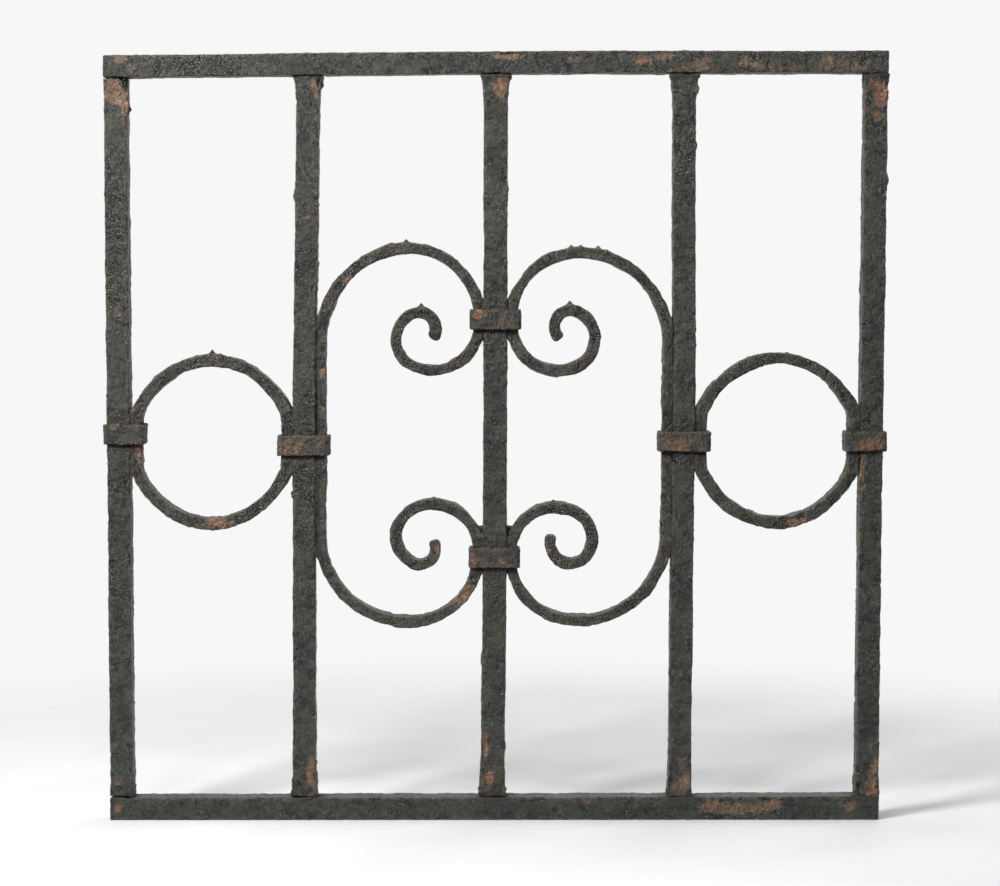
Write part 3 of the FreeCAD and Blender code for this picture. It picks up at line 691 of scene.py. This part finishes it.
def painted_iron(name, shift, dust, brown, wear, gloss, rosy=0.5):
    """Build old black paint over forged iron, worn through to primer and rust in places.

    shift moves the noises so that no two materials match. dust, brown and wear say how much dust,
    brown stain and rubbed edge there is, and gloss is about how rough clean paint is. rosy is how
    high a noise has to be before a rust patch shows tan scale and not rose and orange rust.
    """
    recipe = Recipe(name)
    rust_mark = recipe.mark("rust")
    edge_mark = recipe.mark("edge")
    # The mesh's mark for painted shade near joints, seams and grooves.
    joint_shade_mark = recipe.mark("joint_shade")
    blotch = recipe.noise(26 * MM, 5.0, 0.62, shift)
    mottle = recipe.noise(6 * MM, 5.0, 0.65, shift + 3)
    speck = recipe.noise(2.0 * MM, 4.0, 0.7, shift + 5)
    fine = recipe.noise(1.0 * MM, 3.0, 0.6, shift + 6)

    # Paint, from nearly black to grey-green, warmed by brown stain in places.
    tone = recipe.total((blotch, 0.45), (mottle, 0.25), (speck, 0.30))
    colour = recipe.blend(recipe.ramp(tone, 0.36, 0.62), PAINT_BLACK, PAINT_GREEN)
    warm = recipe.ramp(recipe.noise(12 * MM, 5.0, 0.65, shift + 17), 0.42, 0.66, 0.0, brown)
    colour = recipe.blend(warm, colour, PAINT_BROWN)
    upward = recipe.node("ShaderNodeSeparateXYZ")
    recipe.links.new(recipe.facing, upward.inputs[0])
    settled = recipe.ramp(upward.outputs["Z"], -0.1, 0.9, 0.25, 0.60)
    dusty = recipe.math("MULTIPLY", settled, recipe.ramp(tone, 0.44, 0.62))
    dusty = recipe.math("MULTIPLY", dusty, dust)
    colour = recipe.blend(dusty, colour, PAINT_DUST)

    # Edges rubbed down to brown, and rust where the patches are marked or the paint is thin.
    rubbed = recipe.math("MULTIPLY", edge_mark, recipe.ramp(mottle, 0.40, 0.56))
    rubbed = recipe.math("MULTIPLY", rubbed, wear)
    colour = recipe.blend(rubbed, colour, BARE_BROWN)
    breakup = recipe.total((mottle, 0.65), (speck, 0.35))
    thin = recipe.math("MULTIPLY", recipe.noise(60 * MM, 2.0, 0.5, shift + 9), 0.30)
    spread = recipe.math("ADD", recipe.math("MULTIPLY", rust_mark, 0.40), breakup)
    spread = recipe.math("ADD", spread, recipe.math("MULTIPLY", edge_mark, 0.04 * wear))
    spread = recipe.math("ADD", spread, thin)
    bleed = recipe.ramp(spread, 0.76, 0.86)
    bare = recipe.ramp(spread, 0.85, 0.88)
    hue = recipe.noise(3 * MM, 5.0, 0.7, shift + 11)
    crust = recipe.blend(recipe.ramp(hue, 0.42, 0.52), RUST_BROWN, RUST_ROSE)
    crust = recipe.blend(recipe.ramp(hue, 0.53, 0.60), crust, RUST_ORANGE)
    scale = recipe.blend(recipe.ramp(speck, 0.47, 0.60), RUST_BROWN, TAN_SCALE)
    kind_of_rust = recipe.noise(14 * MM, 2.0, 0.5, shift + 13)
    crust = recipe.blend(recipe.ramp(kind_of_rust, rosy - 0.05, rosy + 0.05), crust, scale)
    flakes = recipe.math("MULTIPLY", bare, recipe.ramp(fine, 0.58, 0.66))
    colour = recipe.blend(recipe.math("MULTIPLY", bleed, 0.8), colour, BARE_BROWN)
    colour = recipe.blend(bare, colour, crust)
    colour = recipe.blend(flakes, colour, CREAM_SCALE)
    # Pale specks of grit, which are also painted glints where the bumps would catch light.
    grit_and_glints = recipe.ramp(recipe.noise(1.4 * MM, 2.0, 0.5, shift + 19), 0.66, 0.72, 0.0, 0.70)
    colour = recipe.blend(grit_and_glints, colour, PALE_GRIT_AND_GLINT)

    # Painted shade in the joints, seams and grooves, and darker pits.
    pits = recipe.cells(2.4 * MM, shift)
    pitted = recipe.ramp(pits, 0.08, 0.25, 0.30, 0.0)
    shade_and_pits = recipe.math("MULTIPLY", joint_shade_mark, recipe.ramp(mottle, 0.30, 0.60, 0.45, 0.90))
    shade_and_pits = recipe.math("MAXIMUM", shade_and_pits, pitted)
    colour = recipe.blend(shade_and_pits, colour, SHADE_AND_PIT_DARK)
    recipe.links.new(colour, recipe.shader.inputs["Base Color"])

    # Sheen: satin paint, matt dust and rust.
    sheen = recipe.ramp(mottle, 0.35, 0.65, gloss - 0.10, gloss + 0.14)
    sheen = recipe.math("ADD", sheen, recipe.math("MULTIPLY", bare, 0.30))
    sheen = recipe.math("ADD", sheen, recipe.math("MULTIPLY", dusty, 0.25))
    sheen = recipe.math("ADD", sheen, recipe.math("MULTIPLY", shade_and_pits, 0.40))
    sheen = recipe.math("MINIMUM", sheen, 0.95)
    recipe.links.new(sheen, recipe.shader.inputs["Roughness"])
    recipe.shader.inputs["IOR"].default_value = 1.5
    recipe.shader.inputs["Specular IOR Level"].default_value = 0.5

    # Wrinkled thick paint, blisters, pits and grit.
    wrinkles = recipe.math("SUBTRACT", recipe.noise(11 * MM, 6.0, 0.62, shift + 15), 0.5)
    wrinkles = recipe.math("ABSOLUTE", wrinkles)
    relief = recipe.bump(wrinkles, -15.0 * MM)
    relief = recipe.bump(mottle, 8.0 * MM, relief)
    relief = recipe.bump(recipe.ramp(pits, 0.05, 0.45), 0.35 * MM, relief)
    relief = recipe.bump(bare, -0.5 * MM, relief)
    relief = recipe.bump(speck, 2.0 * MM, relief)
    relief = recipe.bump(fine, 0.5 * MM, relief)
    recipe.links.new(relief, recipe.shader.inputs["Normal"])
    return recipe.material


# ---------------- pieces

IRON = {
    "rails": painted_iron("rail_iron", 1.0, dust=0.6, brown=0.30, wear=0.6, gloss=0.27, rosy=0.42),
    "bars": painted_iron("bar_iron", 2.0, dust=0.6, brown=0.35, wear=0.5, gloss=0.27, rosy=0.50),
    "scrolls": painted_iron("scroll_iron", 3.0, dust=0.6, brown=0.35, wear=0.6, gloss=0.28),
    "collars": painted_iron("collar_iron", 4.0, dust=0.8, brown=1.3, wear=1.4, gloss=0.36),
    "packing": painted_iron("packing_iron", 5.0, dust=0.2, brown=0.60, wear=0.6, gloss=0.70),
}
DEPTH_AXIS = np.array([0.0, 1.0, 0.0])

COLLARS = [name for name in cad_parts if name.endswith("_collar")]
FEET = [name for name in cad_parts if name.endswith("_foot")]
JOINT_BOXES = []
for joint_name in COLLARS:
    joint_low, joint_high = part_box(joint_name)
    JOINT_BOXES.append((np.array(joint_low), np.array(joint_high)))
for joint_name in UPRIGHTS:
    joint_low, joint_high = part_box(joint_name)
    for joint_level in (RAIL_TOP, RAIL_UNDER):
        low_corner = (joint_low[0], joint_low[1], joint_level - 0.5 * MM)
        high_corner = (joint_high[0], joint_high[1], joint_level + 0.5 * MM)
        JOINT_BOXES.append((np.array(low_corner), np.array(high_corner)))


# Radii of the stock's corners.
STOCK_CORNER = 1.2 * MM
RAIL_CORNER = 1.1 * MM
# Half of how far the bottom rail's top face is above its nominal place: left, middle, right.
RAIL_SWELL = (0.4 * MM, 0.5 * MM, 0.9 * MM)


def build_rail(name, seed):
    """A rail: square bar with hammered ends."""
    low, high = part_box(name)
    end_round = STOCK_CORNER
    ends = [(x, 0, (low[2] + high[2]) / 2) for x in (low[0] + end_round, high[0] - end_round)]
    line = even_rows(np.array(ends), GRAIN)
    extra = np.zeros(len(line))
    if name == "bottom_rail":
        extra = np.interp(line[:, 0], (low[0], 0, high[0]), RAIL_SWELL)
        line[:, 2] += extra
    half_width = (high[2] - low[2]) / 2 + extra
    half_depth = (high[1] - low[1]) / 2
    grid, edge = sweep_grid(
        line, DEPTH_AXIS, half_width, half_depth, RAIL_CORNER, end_round=end_round
    )
    make_piece(
        name + "_forging", grid, edge, False, IRON["rails"], [name], "rail", seed
    )


# Each upright's shape: how far the shoulder flares at the foot and at the head, the dark gap left
# under the head's shoulder, and how much fuller than its nominal size the bar is.
UPRIGHT_SHAPES = {
    "left_stile": (0.7 * MM, 0.2 * MM, 1.5 * MM, 0.2 * MM),
    "inner_left_bar": (1.7 * MM, 3.3 * MM, 1.0 * MM, 0.1 * MM),
    "centre_bar": (1.6 * MM, 3.4 * MM, 1.0 * MM, 0.5 * MM),
    "inner_right_bar": (1.5 * MM, 3.0 * MM, 1.0 * MM, 0.1 * MM),
    "right_stile": (0.5 * MM, 0.4 * MM, 0.8 * MM, 0.2 * MM),
}


# Height of the foot's shoulder above the rail's nominal top: the rail's swell and a dark gap.
FOOT_GAP = 2.0 * MM
# Reach of a flare in millimetres, and the height and reach of the burr beside a shoulder.
FOOT_FLARE_REACH, FOOT_BURR, FOOT_BURR_REACH = 12, 0.4 * MM, 1.5
HEAD_FLARE_REACH, HEAD_BURR, HEAD_BURR_REACH = 8, 0.5 * MM, 1.5
# What share of a flare its depth has.
FLARE_IN_DEPTH = 0.15
# Tenons and their heads, inside the rails' meshes: half widths, and the rows of points. A row is
# SHOULDER_STEP from each shoulder, and the others have margins and steps of their own.
TENON_HALF = 5 * MM
HEAD_HALF = 6.5 * MM
SHOULDER_STEP = 0.1 * MM
TENON_MARGIN, TENON_STEP = 2 * MM, 3 * MM
TENON_ROWS_ABOVE = (3 * MM, 8 * MM, 12 * MM)
HEAD_DEPTH, HEAD_RIM, HEAD_SUNK = 3 * MM, 0.4 * MM, 0.2 * MM


def build_upright(name, seed):
    """An upright: square bar with flared shoulders, and tenons that end inside the rails."""
    low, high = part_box(name)
    middle = (low[0] + high[0]) / 2
    foot_flare, head_flare, gap, fuller = UPRIGHT_SHAPES[name]
    shoulder_low = RAIL_TOP + FOOT_GAP
    shoulder_high = RAIL_UNDER - gap
    shaft = np.arange(shoulder_low, shoulder_high + GRAIN / 2, GRAIN)
    shaft[-1] = shoulder_high
    tenon_low = np.arange(TENON_MARGIN, RAIL_TOP - TENON_MARGIN, TENON_STEP)
    tenon_low = np.append(tenon_low, shoulder_low - SHOULDER_STEP)
    tenon_high = [shoulder_high + SHOULDER_STEP]
    tenon_high += [RAIL_UNDER + above for above in TENON_ROWS_ABOVE]
    head_top = HEIGHT - HEAD_SUNK
    head = np.array([HEIGHT - HEAD_DEPTH, head_top - HEAD_RIM, head_top])
    levels = np.concatenate([tenon_low, shaft, tenon_high, head])
    from_foot = np.maximum(levels - RAIL_TOP, 0) / MM
    from_head = np.maximum(RAIL_UNDER - levels, 0) / MM
    half = BAR_HALF + fuller + foot_flare * np.exp(-from_foot / FOOT_FLARE_REACH)
    half = half + head_flare * np.exp(-from_head / HEAD_FLARE_REACH)
    burrs = HEAD_BURR * np.exp(-from_head / HEAD_BURR_REACH)
    half += burrs + FOOT_BURR * np.exp(-from_foot / FOOT_BURR_REACH)
    half_depth = BAR_HALF + FLARE_IN_DEPTH * (half - BAR_HALF)
    on_shaft = (levels >= shoulder_low) & (levels <= shoulder_high)
    in_head = levels >= HEIGHT - HEAD_DEPTH
    half = np.where(on_shaft, half, np.where(in_head, HEAD_HALF, TENON_HALF))
    half_depth = np.where(on_shaft, half_depth, np.where(in_head, HEAD_HALF, TENON_HALF))
    line = np.stack([np.full(len(levels), middle), np.zeros(len(levels)), levels], axis=1)
    grid, edge = sweep_grid(
        line, DEPTH_AXIS, half, half_depth, STOCK_CORNER, end_round=0.5 * MM, roundness=~on_shaft
    )
    nodes = [name] + [foot for foot in FEET if foot.startswith(name)]
    make_piece(name + "_forging", grid, edge, False, IRON["bars"], nodes, "bar", seed)


# A ring's stock, the radius beside its flats, and how far its shoulders are drawn in.
RING_STOCK = 9.4 * MM
RING_EASING = 20.0 * MM
RING_DRAWN_IN = 1.1 * MM


def build_ring(name, seed):
    """A ring of flat stock, a little oval, and flattened where it bears on the bars."""
    low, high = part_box(name)
    middle = (np.array(low) + np.array(high)) / 2
    side = (high[0] - low[0]) / 2 - RING_STOCK / 2
    radius = (high[2] - low[2]) / 2 - RING_STOCK / 2
    flat = math.sqrt((radius - RING_EASING) ** 2 - (side - RING_EASING) ** 2)
    turn = math.degrees(math.atan2(flat, side - RING_EASING))
    half = [(None, 2 * flat), (RING_EASING, turn), (radius, 180 - 2 * turn), (RING_EASING, turn)]
    line = trace((side, -flat), math.pi / 2, half * 2, 1)[:-1]
    reach = np.linalg.norm(line, axis=1)
    squareness = 2 * line[:, 0] * line[:, 2] / reach ** 2
    line *= (1 - RING_DRAWN_IN * squareness ** 2 / reach)[:, None]
    line = even_rows(line, GRAIN, closed=True) + middle
    grid, edge = sweep_grid(
        line, DEPTH_AXIS, RING_STOCK / 2, (high[1] - low[1]) / 2, STOCK_CORNER, closed=True
    )
    grid = press_on(grid, [(low[0], 1), (high[0], -1)])
    make_piece(
        name + "_forging", grid, edge, True, IRON["scrolls"], [name], "scroll", seed
    )


# Each half of a scroll, bent by eye, in millimetres and degrees: height of its contact with the
# centre bar, radius and sweep of the shoulder, sweep of the crown (its radius follows from the
# width), and the curl's three arcs.
SCROLL_HALVES = {
    ("left", 1): (404.6, 72.6, 75, 105, [(37.0, 115), (23.7, 120), (13.6, 147)]),
    ("right", 1): (404.3, 71.0, 96, 84, [(37.5, 116), (24.1, 131), (13.2, 148)]),
    ("left", -1): (217.9, 69.9, 98, 82, [(37.0, 108), (25.2, 130), (13.0, 139)]),
    ("right", -1): (216.4, 70.3, 103, 77, [(35.8, 125), (23.3, 86), (16.6, 161)]),
}
# In millimetres: how far the lines of its straight side and its contact are from the grille's
# middle, the flat at the contact, and half the stock, nominal and as forged.
SCROLL_SIDE = 139.3
SCROLL_CONTACT = 13.1
SCROLL_FLAT = 4.0
SCROLL_NOMINAL_HALF = 4.1
SCROLL_HALF = 4.3


def scroll_half(word, rise):
    """Return the line of half a scroll, from the middle of its straight side to its tip."""
    sign = -1 if word == "left" else 1
    low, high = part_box(word + "_c_scroll")
    height, shoulder, shoulder_sweep, crown_sweep, curl = SCROLL_HALVES[word, rise]
    closing = math.radians(shoulder_sweep)
    span = SCROLL_SIDE - SCROLL_CONTACT
    crown = (span - shoulder * (1 - math.cos(closing))) / (1 + math.cos(closing))
    side_end = rise * height + SCROLL_FLAT / 2 + (crown - shoulder) * math.sin(closing)
    middle = rise * (low[2] + high[2]) / 2 / MM
    moves = [(None, side_end - middle), (shoulder, shoulder_sweep), (crown, crown_sweep)]
    moves += [(None, SCROLL_FLAT)] + curl
    scaled = [
        (None, amount * MM) if radius is None else (radius * MM, amount) for radius, amount in moves
    ]
    start = (sign * SCROLL_SIDE * MM, abs(middle) * MM)
    return trace(start, rise * math.pi / 2, scaled, sign * rise)


def build_scroll(word, seed):
    """A C-scroll: one bar bent from tip to tip."""
    name = word + "_c_scroll"
    low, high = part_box(name)
    upper = scroll_half(word, 1)
    lower = scroll_half(word, -1)
    line = even_rows(np.vstack([upper[::-1], lower[1:]]), GRAIN)
    grid, edge = sweep_grid(
        line, DEPTH_AXIS, SCROLL_HALF * MM, (high[1] - low[1]) / 2, STOCK_CORNER, end_round=3.2 * MM
    )
    sign = -1 if word == "left" else 1
    side_face = sign * ((SCROLL_SIDE + SCROLL_NOMINAL_HALF) * MM)
    grid = press_on(grid, [(side_face, -sign), (sign * BAR_HALF, sign)])
    nodes = [name, name + "_upper_curl", name + "_lower_curl"]
    make_piece(
        name + "_forging", grid, edge, False, IRON["scrolls"], nodes, "scroll", seed
    )


# A collar's strip: thickness, bends, half the gap between its ends, and radii of edges and ends.
COLLAR_STOCK = 3.2 * MM
COLLAR_BEND = 2.8 * MM
COLLAR_SEAM = 0.3 * MM
COLLAR_CORNER = 1.0 * MM
COLLAR_END = 0.4 * MM
# Spacing of the mesh on small pieces.
FINE_GRAIN = 0.6 * GRAIN


def build_collar(name, seed):
    """A collar: a strip folded hot round the bars, with its ends meeting at the back."""
    low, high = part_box(name)
    centre = (np.array(low) + np.array(high)) / 2
    half_x = (high[0] - low[0]) / 2 - COLLAR_STOCK / 2
    half_y = (high[1] - low[1]) / 2 - COLLAR_STOCK / 2
    quarter = (COLLAR_BEND, 90)
    half_back = (None, half_x - COLLAR_BEND - COLLAR_SEAM)
    side = (None, 2 * (half_y - COLLAR_BEND))
    front = (None, 2 * (half_x - COLLAR_BEND))
    moves = [half_back, quarter, side, quarter, front, quarter, side, quarter, half_back]
    flat = trace((-COLLAR_SEAM, half_y), math.pi, moves, 1)
    line = np.stack([flat[:, 0], flat[:, 2], flat[:, 1]], axis=1)
    line = even_rows(line, FINE_GRAIN) + centre
    grid, edge = sweep_grid(
        line, np.array([0.0, 0.0, 1.0]), COLLAR_STOCK / 2, (high[2] - low[2]) / 2, COLLAR_CORNER,
        end_round=COLLAR_END, spacing=FINE_GRAIN
    )
    make_piece(
        name + "_strip", grid, edge, False, IRON["collars"], [name], "collar", seed
    )


# A packing's wedge: its margin inside the CAD solid's height, its half thickness in millimetres at
# the foot and what is added at the head, its overlap with the bar, and the radius of its edges.
WEDGE_MARGIN = 1 * MM
WEDGE_HALF = 1.2
WEDGE_GROWTH = 1.7
WEDGE_OVERLAP = 0.3 * MM
WEDGE_CORNER = 0.8 * MM


def build_packing(name, seed):
    """The wedge-shaped lump between the centre bar and a lower curl."""
    low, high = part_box(name)
    sign = -1 if name.startswith("left") else 1
    levels = np.arange(low[2] + WEDGE_MARGIN, high[2] - WEDGE_MARGIN, FINE_GRAIN)
    share = (levels - levels[0]) / (levels[-1] - levels[0])
    half = (WEDGE_HALF + WEDGE_GROWTH * share) * MM
    line = np.stack([sign * (BAR_HALF + half - WEDGE_OVERLAP), 0 * levels, levels], axis=1)
    grid, edge = sweep_grid(
        line, DEPTH_AXIS, half, (high[1] - low[1]) / 2, WEDGE_CORNER, end_round=WEDGE_CORNER,
        spacing=FINE_GRAIN
    )
    make_piece(
        name + "_wedge", grid, edge, False, IRON["packing"], [name], "collar", seed
    )


# A piece's seed is the first seed of its kind, and this step for each piece before it.
SEED_STEP = 20

for number, piece_name in enumerate(("top_rail", "bottom_rail")):
    build_rail(piece_name, 100 + SEED_STEP * number)
for number, piece_name in enumerate(UPRIGHTS):
    build_upright(piece_name, 200 + SEED_STEP * number)
for number, piece_name in enumerate(("left_ring", "right_ring")):
    build_ring(piece_name, 400 + SEED_STEP * number)
for number, piece_word in enumerate(("left", "right")):
    build_scroll(piece_word, 500 + SEED_STEP * number)
    build_packing(piece_word + "_packing", 550 + SEED_STEP * number)
for number, piece_name in enumerate(COLLARS):
    build_collar(piece_name, 600 + SEED_STEP * number)


# ---------------- floor, light and camera

def add_floor():
    """A large pale floor under the grille, which fades into the studio's white."""
    mesh = bpy.data.meshes.new("floor")
    reach = 30.0
    pale = (0.42, 0.45)
    fade_from, fade_to = 0.35, 1.0
    corners = [(-reach, -reach, 0), (reach, -reach, 0), (reach, reach, 0), (-reach, reach, 0)]
    mesh.from_pydata(corners, [], [(0, 1, 2, 3)])
    floor = bpy.data.objects.new("floor", mesh)
    bpy.context.collection.objects.link(floor)
    recipe = Recipe("floor_paint")
    patches = recipe.ramp(recipe.noise(180 * MM, 3.0, 0.5, 7.0), 0.35, 0.65, *pale)
    colour = recipe.node("ShaderNodeCombineColor")
    for channel in ("Red", "Green", "Blue"):
        recipe.links.new(patches, colour.inputs[channel])
    recipe.links.new(colour.outputs["Color"], recipe.shader.inputs["Base Color"])
    recipe.shader.inputs["Roughness"].default_value = 0.7
    distance = recipe.node("ShaderNodeVectorMath", operation="LENGTH")
    recipe.links.new(recipe.place, distance.inputs[0])
    faded = recipe.ramp(distance.outputs["Value"], fade_from, fade_to)
    clear = recipe.node("ShaderNodeBsdfTransparent")
    both = recipe.node("ShaderNodeMixShader")
    recipe.links.new(faded, both.inputs["Fac"])
    recipe.links.new(recipe.shader.outputs["BSDF"], both.inputs[1])
    recipe.links.new(clear.outputs["BSDF"], both.inputs[2])
    recipe.links.new(both.outputs["Shader"], recipe.nodes["Material Output"].inputs["Surface"])
    mesh.materials.append(recipe.material)


def add_area_light(name, place, target, size, power):
    """A square soft box that faces a target."""
    light = bpy.data.lights.new(name, "AREA")
    light.shape = "SQUARE"
    light.size = size
    light.energy = power
    lamp = bpy.data.objects.new(name, light)
    lamp.location = place
    lamp.rotation_euler = (Vector(target) - Vector(place)).to_track_quat("-Z", "Y").to_euler()
    bpy.context.collection.objects.link(lamp)


def add_studio():
    """A white studio: bright behind the grille, dimmer in front so that the soft boxes tell."""
    world = bpy.data.worlds.new("studio")
    world.use_nodes = True
    nodes = world.node_tree.nodes
    links = world.node_tree.links
    surround = nodes["Background"]
    surround.inputs["Color"].default_value = (0.98, 0.98, 1.0, 1)
    direction = nodes.new("ShaderNodeTexCoord")
    parts = nodes.new("ShaderNodeSeparateXYZ")
    links.new(direction.outputs["Generated"], parts.inputs[0])
    behind = nodes.new("ShaderNodeMapRange")
    links.new(parts.outputs["Y"], behind.inputs["Value"])
    behind.inputs["From Min"].default_value = -0.4
    behind.inputs["From Max"].default_value = 0.5
    behind.inputs["To Min"].default_value = 0.05
    behind.inputs["To Max"].default_value = 0.80
    links.new(behind.outputs["Result"], surround.inputs["Strength"])
    backdrop = nodes.new("ShaderNodeBackground")
    backdrop.inputs["Color"].default_value = (0.93, 0.93, 0.93, 1)
    seen = nodes.new("ShaderNodeLightPath")
    both = nodes.new("ShaderNodeMixShader")
    links.new(seen.outputs["Is Camera Ray"], both.inputs["Fac"])
    links.new(surround.outputs["Background"], both.inputs[1])
    links.new(backdrop.outputs["Background"], both.inputs[2])
    links.new(both.outputs["Shader"], nodes["World Output"].inputs["Surface"])
    bpy.context.scene.world = world


# Soft boxes: place, what each faces, size of its side, and power in watts.
LIGHTS = {
    "key": ((-0.9, -0.9, 1.35), (0, 0, 0.4), 0.45, 62),
    "front": ((-0.5, -1.4, 1.35), (-0.1, 0, 0.45), 0.25, 10),
    "side": ((1.5, 0.2, 1.0), (0, 0, 0.3), 0.8, 8),
    "back": ((0.7, 1.6, 1.4), (0, 0, 0.3), 1.0, 7),
    "overhead": ((0.0, 0.4, 2.4), (0, 0.2, 0), 1.8, 14),
}
# The camera: lens and sensor width in millimetres, place, and how far it tips down and leans.
LENS = 93.6
SENSOR_WIDTH = 36.0
EYE = (3.7 * MM, -2108.3 * MM, 430.8 * MM)
TIPPED_DOWN = 3.35
LEANS = 0.03


def add_camera(scene):
    """A camera that sees the grille as the photograph does."""
    camera = bpy.data.cameras.new("camera")
    camera.sensor_width = SENSOR_WIDTH
    camera.lens = LENS
    camera.clip_end = 100.0
    eye = bpy.data.objects.new("camera", camera)
    eye.location = EYE
    eye.rotation_euler = (math.radians(90 - TIPPED_DOWN), math.radians(LEANS), 0)
    bpy.context.collection.objects.link(eye)
    scene.camera = eye


add_floor()
add_studio()
for light_name, light_settings in LIGHTS.items():
    add_area_light(light_name, *light_settings)
add_camera(bpy.context.scene)
bpy.context.scene.view_settings.view_transform = "Standard"
